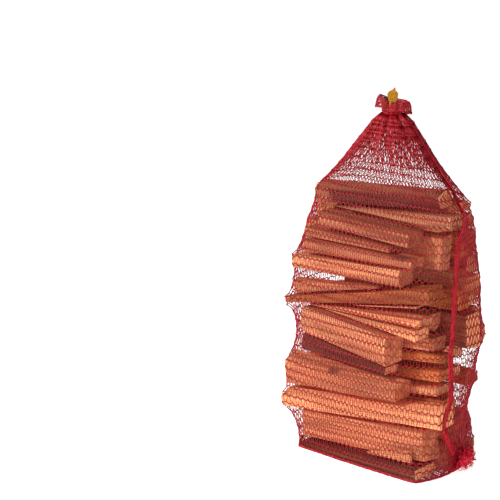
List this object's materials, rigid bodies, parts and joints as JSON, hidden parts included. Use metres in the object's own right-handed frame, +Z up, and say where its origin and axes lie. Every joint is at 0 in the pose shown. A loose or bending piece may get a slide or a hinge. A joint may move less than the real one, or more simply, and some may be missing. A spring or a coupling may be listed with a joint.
{
  "type": "firewood bundle",
  "caption": "Split kindling sticks stacked crosswise in a standing red knitted net bag, gathered to a point and closed by a yellow drawstring.",
  "frame": {"origin": "middle of the bag's box at the foot it stands on", "axes": "+X along the sticks to the right, -Y the front, +Z up towards the drawstring"},
  "size_m": [0.2826, 0.17, 0.4922],
  "materials": {
    "wood_pale": "split and sawn, bare",
    "wood_salmon": "split and sawn, bare",
    "wood_orange": "split and sawn, bare",
    "wood_brown": "split and sawn, bare",
    "wood_bark": "bark side, rough",
    "net_red": "knitted plastic net",
    "string_yellow": "flat woven plastic"
  },
  "bodies": {
    "root": {"kindling_stick_01": "wood_bark", "kindling_stick_02": "wood_pale", "kindling_stick_03": "wood_salmon", "kindling_stick_04": "wood_salmon", "kindling_stick_05": "wood_pale", "kindling_stick_06": "wood_orange", "kindling_stick_07": "wood_salmon", "kindling_stick_08": "wood_brown", "kindling_stick_09": "wood_pale", "kindling_stick_10": "wood_pale", "kindling_stick_11": "wood_orange", "kindling_stick_12": "wood_salmon", "kindling_stick_13": "wood_brown", "kindling_stick_14": "wood_salmon", "kindling_stick_15": "wood_pale", "kindling_stick_16": "wood_orange", "kindling_stick_17": "wood_brown", "kindling_stick_18": "wood_pale", "kindling_stick_19": "wood_salmon", "kindling_stick_20": "wood_orange", "kindling_stick_21": "wood_bark", "kindling_stick_22": "wood_pale", "kindling_stick_23": "wood_pale", "kindling_stick_24": "wood_salmon", "kindling_stick_25": "wood_orange", "kindling_stick_26": "wood_salmon", "kindling_stick_27": "wood_salmon", "kindling_stick_28": "wood_brown", "kindling_stick_29": "wood_brown", "kindling_stick_30": "wood_pale", "kindling_stick_31": "wood_brown", "kindling_stick_32": "wood_salmon", "kindling_stick_33": "wood_pale", "kindling_stick_34": "wood_orange", "kindling_stick_35": "wood_salmon", "kindling_stick_36": "wood_pale", "kindling_stick_37": "wood_orange", "kindling_stick_38": "wood_brown", "kindling_stick_39": "wood_pale", "kindling_stick_40": "wood_orange", "kindling_stick_41": "wood_brown", "kindling_stick_42": "wood_salmon", "kindling_stick_43": "wood_salmon", "kindling_stick_44": "wood_salmon", "kindling_stick_45": "wood_salmon", "kindling_stick_46": "wood_pale", "kindling_stick_47": "wood_orange", "kindling_stick_48": "wood_salmon", "kindling_stick_49": "wood_brown", "kindling_stick_50": "wood_pale", "kindling_stick_51": "wood_pale", "kindling_stick_52": "wood_salmon", "kindling_stick_53": "wood_brown", "kindling_stick_54": "wood_bark", "net_bag": "net_red", "side_seam": "net_red", "net_tuft": "net_red", "drawstring": "string_yellow"}
  },
  "joints": []
}
